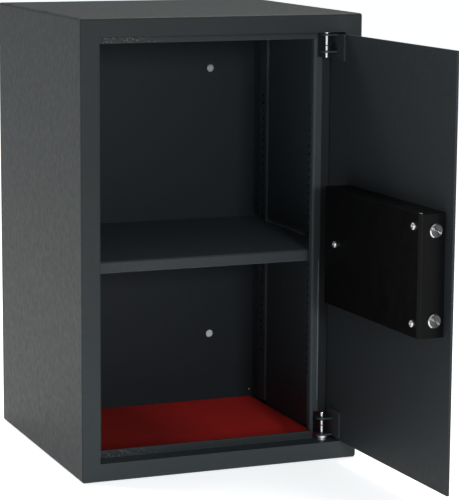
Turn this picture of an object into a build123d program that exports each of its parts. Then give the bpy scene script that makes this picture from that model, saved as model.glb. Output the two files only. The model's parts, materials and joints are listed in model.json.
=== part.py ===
from build123d import *
import os
from math import atan2, cos, degrees, radians, sin

# An electronic in-room safe with one shelf, shown with its door swung open.
# Millimetres, +Z up. The origin is the middle of the cabinet's base, the front faces -Y,
# and the door is hinged on the +X side. The door and all that it carries are laid out
# closed, and turned about the hinge axis when they are written.

# ---- cabinet ----
WIDTH, DEPTH, HEIGHT = 350.0, 330.0, 540.0
SHEET = 2.0                      # wall thickness
BEND = 3.0                       # outside radius of the folded corners
BORDER = 22.0                    # front border round the door opening
EDGE_BREAK = 0.5                 # rounding of cut edges

FRONT = -DEPTH / 2
BACK = DEPTH / 2
WALL_X = WIDTH / 2 - SHEET       # inside face of a side wall
CEILING = HEIGHT - SHEET
OPEN_X = WIDTH / 2 - BORDER      # half width of the door opening
OPEN_LOW, OPEN_HIGH = BORDER, HEIGHT - BORDER
MIDDLE = HEIGHT / 2

FIXING_X = 111.0                 # rear fixing holes, either side of the middle
FIXING_LOW, FIXING_HIGH = 94.0, 450.0
FIXING_R = 5.0
RELIEF_R = 1.5                   # corner relief holes of the back panel
RELIEF_X, RELIEF_Z = 169.0, 13.0

# ---- door jamb and hinge-side baffle ----
LIP_FRONT = FRONT + 25.0         # front face of the stop lip
LIP_REACH = 9.0                  # how far the lip stands into the opening
BAFFLE_FRONT = FRONT + 33.0
BAFFLE_EDGE = 127.6              # free edge of the baffle
BAFFLE_RETURN = 9.0
NOTCH_X = (132.0, 153.0)         # cut-outs of the baffle beside the hinges
NOTCH_HIGH = 31.0
STRAP_END = 172.0                # hinge-side end of the ledges

# ---- hinge ----
AXIS_X = 136.0
AXIS_Y = FRONT + 15.6
DOOR_OPEN = 92.0                 # degrees that the door stands open
PIN_R = 2.25
PIN_CLEARANCE = 0.05
PIN_GROOVE = 0.55                # depth of the pins' grooves
BUSH_R = 4.0
COLLAR_R, COLLAR_HIGH = 5.5, 2.4   # flange of the lower bush, on its ledge
WASHER_R = 6.5
WASHER_LOW, WASHER_HIGH = 25.6, 27.5
LUG = 2.0                        # thickness of the hinge brackets
LUG_GAP = 18.0                   # clear space between the two lugs
LUG_R = 7.5
LOWER_LUG_Z = 28.0               # underside of the lower bracket
UPPER_LUG_Z = 515.5              # top of the upper bracket
BRACKET_TAIL = 24.0              # reach of a bracket's foot along the door
BRACKET_HIGH = 32.0

# ---- door ----
DOOR_T = 3.0
GAP_LOCK, GAP_HINGE, GAP_END = 2.0, 2.5, 2.0
DOOR_LEFT, DOOR_RIGHT = -OPEN_X + GAP_LOCK, OPEN_X - GAP_HINGE
DOOR_LOW, DOOR_HIGH = OPEN_LOW + GAP_END, OPEN_HIGH - GAP_END
INNER = FRONT + DOOR_T           # the door's inner face

HOLE_PLAY = 0.4                  # clearance round a shaft in its hole

# ---- lock ----
COVER_LEFT, COVER_RIGHT = -135.0, 98.0
COVER_LOW, COVER_HIGH = 200.5, 339.5
COVER_BACK = INNER + 32.0        # face of the cover, towards the inside
COVER_SHEET = 1.5
COVER_BEND = 4.0
BOLT_R = 8.0
BOLT_Y = INNER + 12.5
BOLT_Z = (MIDDLE + 50.0, MIDDLE - 50.0)
BOLT_END = -138.0                # tip of a drawn-back bolt
THROW = 22.0
KEEP_R = 8.7                     # bolt holes of the jamb
GUIDE_LEFT, GUIDE_T, GUIDE_FOOT = COVER_LEFT + 4.0, 2.0, 8.0   # plate that guides the bolts
BOLT_PLAY = 0.08                 # clearance of a bolt in its guide
YOKE_LEFT, YOKE_RIGHT = -92.0, -88.0
YOKE_HALF, YOKE_END = 7.5, 9.0   # half depth, and reach past the bolts' axes
SCREW_X, SCREW_RISE = -121.0, 54.0
SCREW_R, HEAD_R, HEAD_HIGH = 2.0, 4.0, 2.2
CROSS_LONG, CROSS_WIDE, CROSS_DEEP = 4.4, 1.2, 0.75   # recess of a screw's head
POST_X, POST_Z, POST_R = 69.0, 274.5, 4.5
ARM_FRONT, ARM_BACK = INNER + 11.5, INNER + 13.5
ARM_LOW, ARM_HIGH = 246.0, 294.0
ARM_END = -30.0
SPINDLE_X, SPINDLE_Z = -52.0, MIDDLE
SPINDLE_R, SPINDLE_PROUD = 4.0, 12.0   # radius, and reach into the knob past the bezel
CRANK_R = THROW / 2 / sin(radians(45))
CRANK_PIN_R = 2.5
CRANK_FRONT, CRANK_BACK = INNER + 4.5, INNER + 8.5
CRANK_WEB = 9.0                  # width of the crank's web
SLOT_PLAY = 0.8                  # play of the crank pin in its slot
GUIDE_X, GUIDE_Z, GUIDE_R = -60.0, 253.0, 3.0
GUIDE_PLAY = 0.3
CAM_X, CAM_Z = -78.0, 303.0
CAM_R, LOBE_R, LOBE_HALF = 6.0, 12.0, 4.5
CAM_SHAFT_R = 1.5
NOTCH_HALF, NOTCH_DEEP = 8.5, 4.5
MOTOR_R, MOTOR_FRONT, MOTOR_SHEET = 7.5, INNER + 15.7, 1.5

# ---- keypad ----
BEZEL_LEFT, BEZEL_RIGHT = -95.0, 85.0
BEZEL_LOW, BEZEL_HIGH = 212.0, 328.0
BEZEL_T = 12.0
BEZEL_FRONT = FRONT - BEZEL_T
CABLE_HOLE_Z, CABLE_HOLE_R = BEZEL_HIGH - 14.0, 5.0   # behind the keypad, for its cable
KEY_COLUMNS = (25.0, 45.0, 65.0)
KEY_ROWS = (286.5, 268.5, 250.5, 232.5)
KEY_NAMES = ("1", "2", "3", "4", "5", "6", "7", "8", "9", "clear", "0", "lock")
KEY_W, KEY_H, KEY_DEEP = 16.0, 12.0, 5.5
KEY_PROUD, KEY_PLAY, KEY_POCKET = 1.5, 0.4, 5.5
WINDOW = (15.0, 75.0, 299.0, 317.0)
WINDOW_T = 1.5
SEAT_R, SEAT_DEEP = 27.0, 2.0
KNOB_R, KNOB_DISC, KNOB_GRIP = 23.0, 8.0, 19.0
GRIP_HALF = 6.5
OVERRIDE_X, OVERRIDE_Z = -8.0, 234.0
OVERRIDE_R, PLUG_R, FLANGE_T = 7.0, 4.6, 1.6
LEVER_FRONT, LEVER_T, LEVER_REACH = INNER + 18.3, 2.0, 14.0

# ---- shelf, rails and mat ----
SHELF_TOP = 252.0
SHELF_T = 1.5
SHELF_LIP = 13.5
SHELF_HALF = 169.0
SHELF_FRONT, SHELF_REAR = FRONT + 47.0, BACK - 4.0
RAIL_CENTRES = (FRONT + 137.0, FRONT + 290.0)
RAIL_W, RAIL_T, RAIL_PROUD = 25.0, 1.5, 3.0
RAIL_LOW, RAIL_HIGH = 8.0, 532.0
SLOT_W, SLOT_H, SLOT_PITCH, SLOT_FIRST, SLOT_COUNT = 7.0, 4.0, 10.0, 76.0, 35
CLIP_REACH, CLIP_T = 12.0, 2.0
MAT_T = 3.0
MAT_HALF, MAT_FRONT, MAT_REAR = 171.0, FRONT + 30.0, BACK - 2.5


def block(x0, x1, y0, y1, z0, z1):
    """A box between two corners."""
    return Pos((x0 + x1) / 2, (y0 + y1) / 2, (z0 + z1) / 2) * Box(x1 - x0, y1 - y0, z1 - z0)


def rod_x(y, z, radius, x0, x1):
    return Pos((x0 + x1) / 2, y, z) * Rot(0, 90, 0) * Cylinder(radius, x1 - x0)


def rod_y(x, z, radius, y0, y1):
    return Pos(x, (y0 + y1) / 2, z) * Rot(90, 0, 0) * Cylinder(radius, y1 - y0)


def rod_z(x, y, radius, z0, z1):
    return Pos(x, y, (z0 + z1) / 2) * Cylinder(radius, z1 - z0)


def round_along(shape, axis, radius):
    """Round every edge that runs along an axis."""
    return fillet(shape.edges().filter_by(axis), radius)


def plate_y(x0, x1, y0, y1, z0, z1, corner, edge):
    """A plate with rounded corners, the rim of its -Y face eased by edge."""
    plate = round_along(block(x0, x1, y0, y1, z0, z1), Axis.Y, corner)
    return fillet(plate.faces().sort_by(Axis.Y)[0].edges(), edge)


def ease(shape, axis, level, radius):
    """Round the rim of the faces that lie at a level of an axis."""
    faces = [f for f in shape.faces().filter_by(axis) if abs(axis.direction.dot(f.center()) - level) < 0.01]
    edges = [e for f in faces for e in f.edges()]
    return fillet(edges, radius)


# ---------------------------------------------------------------- cabinet

def cabinet_shell():
    """Four walls with the front border folded from them, open at the back."""
    outer = block(-WIDTH / 2, WIDTH / 2, FRONT, BACK, 0, HEIGHT)
    outer = fillet([e for e in outer.edges() if e.center().Y < BACK - 1], BEND)
    inner = block(-WALL_X, WALL_X, FRONT + SHEET, BACK + 10, SHEET, CEILING)
    inner = fillet([e for e in inner.edges() if e.center().Y < BACK], BEND - SHEET)
    opening = block(-OPEN_X, OPEN_X, FRONT - 1, FRONT + SHEET + 1, OPEN_LOW, OPEN_HIGH)
    shell = outer - inner - opening
    rim = [e for e in shell.edges() if abs(e.center().Y - FRONT) < 0.01 and abs(e.center().X) < OPEN_X + 1
           and OPEN_LOW - 1 < e.center().Z < OPEN_HIGH + 1]
    return fillet(rim, EDGE_BREAK)


def back_panel():
    """Inset back sheet with its fixing holes and corner relief holes."""
    panel = block(-WALL_X, WALL_X, BACK - SHEET, BACK, SHEET, CEILING)
    panel = round_along(panel, Axis.Y, BEND - SHEET)
    for side in (-1, 1):
        for z in (FIXING_LOW, FIXING_HIGH):
            panel -= rod_y(side * FIXING_X, z, FIXING_R, BACK - 5, BACK + 5)
        panel -= rod_y(side * RELIEF_X, RELIEF_Z, RELIEF_R, BACK - 5, BACK + 5)
    return panel


def door_jamb():
    """Ledges and stop lip round three sides, with the bolt holes and hinge bush holes."""
    start, end = FRONT + SHEET, LIP_FRONT + SHEET
    jamb = block(-OPEN_X - SHEET, -OPEN_X, start, end, OPEN_LOW - SHEET, OPEN_HIGH + SHEET)
    jamb += block(-OPEN_X, -OPEN_X + LIP_REACH, LIP_FRONT, end, OPEN_LOW, OPEN_HIGH)
    for ledge, lip in ((OPEN_LOW - SHEET, OPEN_LOW), (OPEN_HIGH, OPEN_HIGH - LIP_REACH)):
        jamb += block(-OPEN_X, STRAP_END, start, end, ledge, ledge + SHEET)
        jamb += block(BAFFLE_EDGE, STRAP_END, end, BAFFLE_FRONT + SHEET, ledge, ledge + SHEET)
        jamb += block(-OPEN_X, BAFFLE_EDGE, LIP_FRONT, end, lip, lip + LIP_REACH)
    for z in BOLT_Z:
        jamb -= rod_x(BOLT_Y, z, KEEP_R, -OPEN_X - SHEET - 1, -OPEN_X + 1)
    for z in (OPEN_LOW - SHEET, OPEN_HIGH):
        jamb -= rod_z(AXIS_X, AXIS_Y, BUSH_R, z - 1, z + SHEET + 1)
    return jamb


def hinge_side_baffle():
    """Sheet that closes the hinge pocket from inside, with a rolled free edge."""
    back = BAFFLE_FRONT + SHEET
    tip = BAFFLE_FRONT + BAFFLE_RETURN
    baffle = block(BAFFLE_EDGE, WALL_X, BAFFLE_FRONT, tip, OPEN_LOW, OPEN_HIGH)
    baffle -= block(BAFFLE_EDGE + SHEET, WALL_X + 1, back, tip + 1, OPEN_LOW - 1, OPEN_HIGH + 1)
    bend = [e for e in baffle.edges().filter_by(Axis.Z)
            if abs(e.center().X - BAFFLE_EDGE) < 0.01 and abs(e.center().Y - BAFFLE_FRONT) < 0.01]
    baffle = fillet(bend, BEND)
    for low, high in ((OPEN_LOW - 1, OPEN_LOW + NOTCH_HIGH), (OPEN_HIGH - NOTCH_HIGH, OPEN_HIGH + 1)):
        baffle -= block(NOTCH_X[0], NOTCH_X[1], BAFFLE_FRONT - 1, back + 1, low, high)
    return baffle


def shelf_upright(side, centre):
    """Channel rail on a side wall, slotted for the shelf clips."""
    near, far = centre - RAIL_W / 2, centre + RAIL_W / 2
    rail = block(WALL_X - RAIL_PROUD, WALL_X, near, far, RAIL_LOW, RAIL_HIGH)
    rail = fillet([e for e in rail.edges().filter_by(Axis.Z) if e.center().X < WALL_X - 1], 1.2)
    rail -= block(WALL_X - RAIL_PROUD + RAIL_T, WALL_X + 1, near + RAIL_T, far - RAIL_T,
                  RAIL_LOW - 1, RAIL_HIGH + 1)
    slot = block(WALL_X - RAIL_PROUD - 1, WALL_X - RAIL_PROUD + RAIL_T + 1,
                 centre - SLOT_W / 2, centre + SLOT_W / 2, -SLOT_H / 2, SLOT_H / 2)
    slot = round_along(slot, Axis.X, 1.2)
    slots = [Pos(0, 0, SLOT_FIRST + i * SLOT_PITCH) * slot for i in range(SLOT_COUNT)]
    rail = rail - slots
    return rail if side > 0 else mirror(rail, about=Plane.YZ)


def shelf_clips():
    """Four clips, each a tongue hooked in a slot of a rail."""
    face = WALL_X - RAIL_PROUD
    top = SHELF_TOP - SHELF_T
    slot_z = SLOT_FIRST + SLOT_PITCH * round((top - CLIP_T / 2 - 1 - SLOT_FIRST) / SLOT_PITCH)
    clips = []
    for centre in RAIL_CENTRES:
        tongue = block(face - CLIP_REACH, face, centre - 5, centre + 5, top - CLIP_T, top)
        stem = block(face - CLIP_T, face, centre - 3, centre + 3, slot_z - 1.5, top - CLIP_T)
        hook = block(face, face + RAIL_T + 1, centre - 3, centre + 3, slot_z - 1.5, slot_z + 1.0)
        clip = tongue + stem + hook
        clips += [clip, mirror(clip, about=Plane.YZ)]
    return Compound(clips)


def floor_mat():
    mat = block(-MAT_HALF, MAT_HALF, MAT_FRONT, MAT_REAR, SHEET, SHEET + MAT_T)
    return round_along(mat, Axis.Z, 4)


def lower_hinge_bush():
    """Flanged bush in the lower ledge with a thrust washer on top."""
    collar = rod_z(AXIS_X, AXIS_Y, COLLAR_R, OPEN_LOW, OPEN_LOW + COLLAR_HIGH)
    bush = rod_z(AXIS_X, AXIS_Y, BUSH_R, OPEN_LOW - SHEET, WASHER_LOW)
    bush += ease(collar, Axis.Z, OPEN_LOW + COLLAR_HIGH, 0.4)
    bush += rod_z(AXIS_X, AXIS_Y, WASHER_R, WASHER_LOW, WASHER_HIGH)
    bush = ease(bush, Axis.Z, WASHER_HIGH, 0.4)
    return bush - rod_z(AXIS_X, AXIS_Y, PIN_R + PIN_CLEARANCE, 0, WASHER_HIGH + 1)


def upper_hinge_bush():
    low = OPEN_HIGH - 1.5
    bush = rod_z(AXIS_X, AXIS_Y, BUSH_R, low, OPEN_HIGH + SHEET)
    return bush - rod_z(AXIS_X, AXIS_Y, PIN_R + PIN_CLEARANCE, low - 1, HEIGHT)


# ---------------------------------------------------------------- shelf

def shelf():
    """Sheet tray with its front and rear edges folded down."""
    low = SHELF_TOP - SHELF_LIP
    tray = block(-SHELF_HALF, SHELF_HALF, SHELF_FRONT, SHELF_REAR, low, SHELF_TOP)
    bends = [e for e in tray.edges().filter_by(Axis.X) if e.center().Z > SHELF_TOP - 1]
    tray = fillet(bends, 2.5)
    hollow = block(-SHELF_HALF - 1, SHELF_HALF + 1, SHELF_FRONT + SHELF_T, SHELF_REAR - SHELF_T,
                   low - 1, SHELF_TOP - SHELF_T)
    hollow = fillet([e for e in hollow.edges().filter_by(Axis.X) if e.center().Z > low], 1.0)
    return tray - hollow


# ---------------------------------------------------------------- door and hinges

def door_plate():
    """Plain steel plate with the lock's through holes."""
    plate = block(DOOR_LEFT, DOOR_RIGHT, FRONT, INNER, DOOR_LOW, DOOR_HIGH)
    plate = round_along(plate, Axis.Y, 1.5)
    plate = ease(plate, Axis.Y, FRONT, EDGE_BREAK)
    plate = ease(plate, Axis.Y, INNER, EDGE_BREAK)
    plate -= rod_y(SPINDLE_X, SPINDLE_Z, SPINDLE_R + HOLE_PLAY, FRONT - 1, INNER + 1)
    plate -= rod_y(OVERRIDE_X, OVERRIDE_Z, OVERRIDE_R + HOLE_PLAY, FRONT - 1, INNER + 1)
    return plate - rod_y(KEY_COLUMNS[0], CABLE_HOLE_Z, CABLE_HOLE_R, FRONT - 1, INNER + 1)


def hinge_bracket(z_ends):
    """A foot on the door with two lugs; z_ends gives the foot's reach beyond the lugs' pair."""
    first, foot_low, foot_high = z_ends
    foot = block(AXIS_X - BRACKET_TAIL, AXIS_X + LUG_R, INNER, INNER + LUG, foot_low, foot_high)
    bracket = round_along(foot, Axis.Y, 2)
    for z in (first, first + LUG + LUG_GAP):
        lug = block(AXIS_X - LUG_R, AXIS_X + LUG_R, INNER + LUG, AXIS_Y, z, z + LUG)
        lug += rod_z(AXIS_X, AXIS_Y, LUG_R, z, z + LUG)
        bracket += lug
    return bracket - rod_z(AXIS_X, AXIS_Y, PIN_R, foot_low - 5, foot_high + 5)


def hinge_pin(low, high, tip, grooves):
    """A pin with a rounded tip (at high or low) and turned grooves."""
    pin = rod_z(AXIS_X, AXIS_Y, PIN_R, low, high)
    pin = ease(pin, Axis.Z, tip, 0.9)
    for z in grooves:
        ring = rod_z(AXIS_X, AXIS_Y, PIN_R + 1, z - 0.4, z + 0.4)
        pin -= ring - rod_z(AXIS_X, AXIS_Y, PIN_R - PIN_GROOVE, z - 1, z + 1)
    return pin


# ---------------------------------------------------------------- lock cover and fixings

def screw_places():
    """Where the cover's screws go, in the door's plane."""
    return [(SCREW_X, MIDDLE + SCREW_RISE), (SCREW_X, MIDDLE - SCREW_RISE), (POST_X, POST_Z)]


def lock_cover():
    """Folded black cover over the lock, with the bolts' holes in its end."""
    cover = block(COVER_LEFT, COVER_RIGHT, INNER, COVER_BACK, COVER_LOW, COVER_HIGH)
    bends = [e for e in cover.edges().filter_by(Axis.Z) if e.center().Y > COVER_BACK - 1]
    cover = fillet(bends, COVER_BEND)
    rims = [e for e in cover.edges() if e.center().Y > COVER_BACK - COVER_BEND
            and not -1 < abs(e.center().Z - (COVER_LOW + COVER_HIGH) / 2) < 60]
    cover = fillet(rims, 1.0)
    hollow = block(COVER_LEFT + COVER_SHEET, COVER_RIGHT - COVER_SHEET, INNER - 1,
                   COVER_BACK - COVER_SHEET, COVER_LOW + COVER_SHEET, COVER_HIGH - COVER_SHEET)
    inside = [e for e in hollow.edges().filter_by(Axis.Z) if e.center().Y > INNER]
    cover -= fillet(inside, COVER_BEND - COVER_SHEET)
    for z in BOLT_Z:
        cover -= rod_x(BOLT_Y, z, BOLT_R + HOLE_PLAY, COVER_LEFT - 1, COVER_LEFT + 5)
    for x, z in screw_places():
        cover -= rod_y(x, z, SCREW_R + 0.2, COVER_BACK - 5, COVER_BACK + 1)
    return cover


def cover_screws():
    """Three pan-head screws with cross recesses."""
    screws = []
    for x, z in screw_places():
        top = COVER_BACK + HEAD_HIGH
        head = ease(rod_y(x, z, HEAD_R, COVER_BACK, top), Axis.Y, top, 1.3)
        for turn in (0, 90):
            bar = Rot(0, turn, 0) * Box(CROSS_LONG, 2 * CROSS_DEEP, CROSS_WIDE)
            head -= Pos(x, top, z) * bar
        screws.append(head + rod_y(x, z, SCREW_R, COVER_BACK - 7, COVER_BACK))
    return Compound(screws)


def cover_post():
    """Threaded post at the cover's hinge end."""
    post = rod_y(POST_X, POST_Z, POST_R, INNER, COVER_BACK - COVER_SHEET)
    return post - rod_y(POST_X, POST_Z, SCREW_R, COVER_BACK - 12, COVER_BACK)


def bolt_guide():
    """Folded plate: a foot on the door, a wall that the bolts slide through, a screw flange."""
    left, right = GUIDE_LEFT, GUIDE_LEFT + GUIDE_T
    back = COVER_BACK - COVER_SHEET
    low, high = COVER_LOW + 5, COVER_HIGH - 5
    guide = block(left, right, INNER, back, low, high)
    guide += block(left, right + GUIDE_FOOT, INNER, INNER + GUIDE_T, low, high)
    guide += block(left, SCREW_X + GUIDE_FOOT, back - GUIDE_T, back, low, high)
    relief = 0.5                 # the folded corner stays clear of the cover's bend
    guide -= block(left - 1, left + 3, back - relief, back + 1, low - 1, high + 1)
    for z in BOLT_Z:
        guide -= rod_x(BOLT_Y, z, BOLT_R + BOLT_PLAY, left - 1, right + 1)
    for x, z in screw_places()[:2]:
        guide -= rod_y(x, z, SCREW_R, back - 3, back + 1)
    return guide


# ---------------------------------------------------------------- bolts and their drive

def lock_bolt(z):
    """Round bolt with a chamfered nose."""
    bolt = rod_x(BOLT_Y, z, BOLT_R, BOLT_END, YOKE_LEFT)
    nose = [e for e in bolt.edges() if abs(e.center().X - BOLT_END) < 0.01]
    return chamfer(nose, 1.0)


def bolt_carriage():
    """Yoke behind the bolts, with a plate that has the crank slot, guide slot and cam notches."""
    yoke = block(YOKE_LEFT, YOKE_RIGHT, BOLT_Y - YOKE_HALF, BOLT_Y + YOKE_HALF,
                 BOLT_Z[1] - YOKE_END, BOLT_Z[0] + YOKE_END)
    arm = block(YOKE_RIGHT, ARM_END, ARM_FRONT, ARM_BACK, ARM_LOW, ARM_HIGH)
    pin_x = SPINDLE_X + THROW / 2
    half = CRANK_PIN_R + SLOT_PLAY
    low = SPINDLE_Z + THROW / 2 - CRANK_PIN_R - SLOT_PLAY
    high = SPINDLE_Z + CRANK_R + CRANK_PIN_R + SLOT_PLAY
    slot = block(pin_x - half, pin_x + half, ARM_FRONT - 1, ARM_BACK + 1, low, high)
    arm -= round_along(slot, Axis.Y, 2)
    reach = GUIDE_R + GUIDE_PLAY
    guide = block(GUIDE_X - reach, GUIDE_X + THROW + reach, ARM_FRONT - 1, ARM_BACK + 1,
                  GUIDE_Z - reach, GUIDE_Z + reach)
    arm -= guide
    for x in (CAM_X, CAM_X + THROW):
        arm -= block(x - NOTCH_HALF, x + NOTCH_HALF, ARM_FRONT - 1, ARM_BACK + 1,
                     ARM_HIGH - NOTCH_DEEP, ARM_HIGH + 1)
    return yoke + arm


def spindle_crank():
    """Crank on the spindle: hub, web and the pin that drives the carriage."""
    front, back = CRANK_FRONT, CRANK_BACK
    pin_x, pin_z = SPINDLE_X + THROW / 2, SPINDLE_Z + THROW / 2
    hub = rod_y(SPINDLE_X, SPINDLE_Z, 2 * SPINDLE_R, front, back)
    lean = degrees(atan2(pin_x - SPINDLE_X, pin_z - SPINDLE_Z))
    web = Pos(SPINDLE_X, (front + back) / 2, SPINDLE_Z) * Rot(0, lean, 0) * Pos(0, 0, CRANK_R / 2)
    crank = hub + web * Box(CRANK_WEB, back - front, CRANK_R)
    crank += rod_y(pin_x, pin_z, CRANK_WEB / 2, front, back)
    crank += rod_y(pin_x, pin_z, CRANK_PIN_R, back, ARM_BACK + 2)
    return crank - rod_y(SPINDLE_X, SPINDLE_Z, SPINDLE_R, front - 1, back + 1)


def knob_spindle():
    return rod_y(SPINDLE_X, SPINDLE_Z, SPINDLE_R, BEZEL_FRONT - SPINDLE_PROUD, CRANK_BACK)


def knob():
    """Turn knob: a round skirt with a raised grip."""
    back = BEZEL_FRONT + SEAT_DEEP - 0.7
    front = back - KNOB_DISC
    disc = rod_y(SPINDLE_X, SPINDLE_Z, KNOB_R, front, back)
    disc = ease(disc, Axis.Y, front, 2.5)
    grip = block(SPINDLE_X - GRIP_HALF, SPINDLE_X + GRIP_HALF, front - KNOB_GRIP, front + 3,
                 SPINDLE_Z - KNOB_R + 1.5, SPINDLE_Z + KNOB_R - 1.5)
    grip = round_along(grip, Axis.Y, GRIP_HALF - 0.5)
    grip = ease(grip, Axis.Y, front - KNOB_GRIP, 2.5)
    return disc + grip - rod_y(SPINDLE_X, SPINDLE_Z, SPINDLE_R, BEZEL_FRONT - SPINDLE_PROUD, back + 1)


def guide_post():
    """Post that the carriage's long slot runs on."""
    return rod_y(GUIDE_X, GUIDE_Z, GUIDE_R, INNER, ARM_BACK + 4)


def guide_post_clip():
    """Snap ring that keeps the carriage on its post."""
    ring = rod_y(GUIDE_X, GUIDE_Z, 5.5, ARM_BACK + 0.5, ARM_BACK + 1.5)
    return ring - rod_y(GUIDE_X, GUIDE_Z, GUIDE_R, ARM_BACK, ARM_BACK + 2)


# ---------------------------------------------------------------- blocking cam and its motor

def blocking_cam():
    """Disc with one lobe that drops into the carriage's notches, and its shaft."""
    cam = rod_y(CAM_X, CAM_Z, CAM_R, ARM_FRONT, ARM_BACK)
    lobe = block(CAM_X, CAM_X + LOBE_R, ARM_FRONT, ARM_BACK, CAM_Z - LOBE_HALF, CAM_Z + LOBE_HALF)
    cam += lobe & rod_y(CAM_X, CAM_Z, LOBE_R, ARM_FRONT, ARM_BACK)
    return cam + rod_y(CAM_X, CAM_Z, CAM_SHAFT_R, ARM_BACK, MOTOR_FRONT + 1.7)


def motor_bracket():
    """Folded bracket that carries the motor above the carriage."""
    left, right = CAM_X - 6, CAM_X + 10
    face = MOTOR_FRONT - MOTOR_SHEET
    fold, fold_top = CAM_Z + 11, CAM_Z + 11 + MOTOR_SHEET
    bracket = block(left, right, INNER, INNER + MOTOR_SHEET, fold, fold + 16)
    bracket += block(left, right, INNER, MOTOR_FRONT, fold, fold_top)
    bracket += block(left, right, face, MOTOR_FRONT, CAM_Z - 8, fold_top)
    return bracket - rod_y(CAM_X, CAM_Z, 2.0, face - 1, MOTOR_FRONT + 1)


def lock_motor():
    """Small gear motor; its shaft belongs to the cam."""
    motor = rod_y(CAM_X, CAM_Z, MOTOR_R, MOTOR_FRONT, COVER_BACK - 3)
    motor = ease(motor, Axis.Y, COVER_BACK - 3, 0.8)
    return motor - rod_y(CAM_X, CAM_Z, CAM_SHAFT_R + 0.3, MOTOR_FRONT - 1, MOTOR_FRONT + 2)


# ---------------------------------------------------------------- electronics

BOARD = (0.0, 60.0, 278.0, 328.0)
BOARD_FRONT, BOARD_T = INNER + 5.0, 1.6
BOARD_HOLES = [(x, z) for x in (BOARD[0] + 4, BOARD[1] - 4) for z in (BOARD[2] + 4, BOARD[3] - 4)]
HOLDER = (4.0, 64.0, 205.0, 269.0)
CELL_R, CELL_LONG, CELL_PITCH = 7.1, 49.2, 15.2
HOLDER_FRONT, HOLDER_WALL = INNER + 0.5, 1.5


def circuit_board():
    board = block(BOARD[0], BOARD[1], BOARD_FRONT, BOARD_FRONT + BOARD_T, BOARD[2], BOARD[3])
    board = round_along(board, Axis.Y, 2)
    for x, z in BOARD_HOLES:
        board -= rod_y(x, z, 1.6, BOARD_FRONT - 1, BOARD_FRONT + 3)
    return board


def board_components():
    """Chips, a capacitor and a plug socket standing on the board."""
    top = BOARD_FRONT + BOARD_T
    chip = block(22, 34, top, top + 2, 300, 312)
    driver = block(42, 50, top, top + 1.6, 286, 296)
    socket = block(8, 14, top, top + 6, 290, 308) - block(9, 13, top + 2, top + 7, 291, 307)
    capacitor = ease(rod_y(46, 314, 4, top, top + 9), Axis.Y, top + 9, 0.6)
    return Compound([chip, driver, socket, capacitor])


def board_spacers():
    spacers = []
    for x, z in BOARD_HOLES:
        spacer = rod_y(x, z, 2.8, INNER, BOARD_FRONT) + rod_y(x, z, 1.5, BOARD_FRONT, BOARD_FRONT + BOARD_T)
        spacers.append(spacer + rod_y(x, z, 2.6, BOARD_FRONT + BOARD_T, BOARD_FRONT + BOARD_T + 1.4))
    return Compound(spacers)


def cell_centres():
    middle = (HOLDER[2] + HOLDER[3]) / 2
    return [middle + (i - 1.5) * CELL_PITCH for i in range(4)]


def battery_holder():
    """Open tray with a trough for each cell."""
    deep = HOLDER_WALL + 2 * CELL_R - 2
    tray = block(HOLDER[0], HOLDER[1], HOLDER_FRONT, HOLDER_FRONT + deep, HOLDER[2], HOLDER[3])
    tray = round_along(tray, Axis.Y, 2)
    x0, x1 = HOLDER[0] + HOLDER_WALL + 1.5, HOLDER[1] - HOLDER_WALL - 1.5
    y = HOLDER_FRONT + HOLDER_WALL + CELL_R
    for z in cell_centres():
        trough = rod_x(y, z, CELL_R + 0.2, x0, x1)
        trough += block(x0, x1, y, y + 20, z - CELL_R - 0.2, z + CELL_R + 0.2)
        tray -= trough
    return tray


def batteries():
    """Four cells laid side by side, every second one turned round."""
    middle = (HOLDER[0] + HOLDER[1]) / 2
    y = HOLDER_FRONT + HOLDER_WALL + CELL_R
    cells = []
    for number, z in enumerate(cell_centres()):
        way = 1 if number % 2 else -1
        cell = rod_x(y, z, CELL_R, middle - CELL_LONG / 2, middle + CELL_LONG / 2)
        end = middle + way * CELL_LONG / 2
        cell += rod_x(y, z, 2.6, min(end, end + way * 1.3), max(end, end + way * 1.3))
        cells.append(cell)
    return Compound(cells)


# ---------------------------------------------------------------- keypad and override lock

def key_places():
    """Name and place of each key, row by row."""
    places = [(x, z) for z in KEY_ROWS for x in KEY_COLUMNS]
    return list(zip(KEY_NAMES, places))


def keypad_bezel():
    """Moulded housing on the door's outer face, with pockets for keys, window and knob."""
    bezel = plate_y(BEZEL_LEFT, BEZEL_RIGHT, BEZEL_FRONT, FRONT, BEZEL_LOW, BEZEL_HIGH, 12, 3.5)
    w, h = KEY_W / 2 + KEY_PLAY, KEY_H / 2 + KEY_PLAY
    for _, (x, z) in key_places():
        pocket = block(x - w, x + w, BEZEL_FRONT - 1, BEZEL_FRONT + KEY_POCKET, z - h, z + h)
        bezel -= round_along(pocket, Axis.Y, 1.8)
    x0, x1, z0, z1 = WINDOW
    recess = block(x0, x1, BEZEL_FRONT - 1, BEZEL_FRONT + WINDOW_T, z0, z1)
    bezel -= round_along(recess, Axis.Y, 3)
    bezel -= rod_y(SPINDLE_X, SPINDLE_Z, SEAT_R, BEZEL_FRONT - 1, BEZEL_FRONT + SEAT_DEEP)
    bezel -= rod_y(SPINDLE_X, SPINDLE_Z, SPINDLE_R + HOLE_PLAY, BEZEL_FRONT - 1, FRONT + 1)
    return bezel - rod_y(OVERRIDE_X, OVERRIDE_Z, OVERRIDE_R, BEZEL_FRONT - 1, FRONT + 1)


def display_window():
    x0, x1, z0, z1 = WINDOW
    window = block(x0, x1, BEZEL_FRONT, BEZEL_FRONT + WINDOW_T, z0, z1)
    return round_along(window, Axis.Y, 3)


def key_cap(x, z):
    """One key, with its face slightly crowned by its rim."""
    front = BEZEL_FRONT - KEY_PROUD
    return plate_y(x - KEY_W / 2, x + KEY_W / 2, front, front + KEY_DEEP,
                   z - KEY_H / 2, z + KEY_H / 2, 1.5, 0.7)


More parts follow.
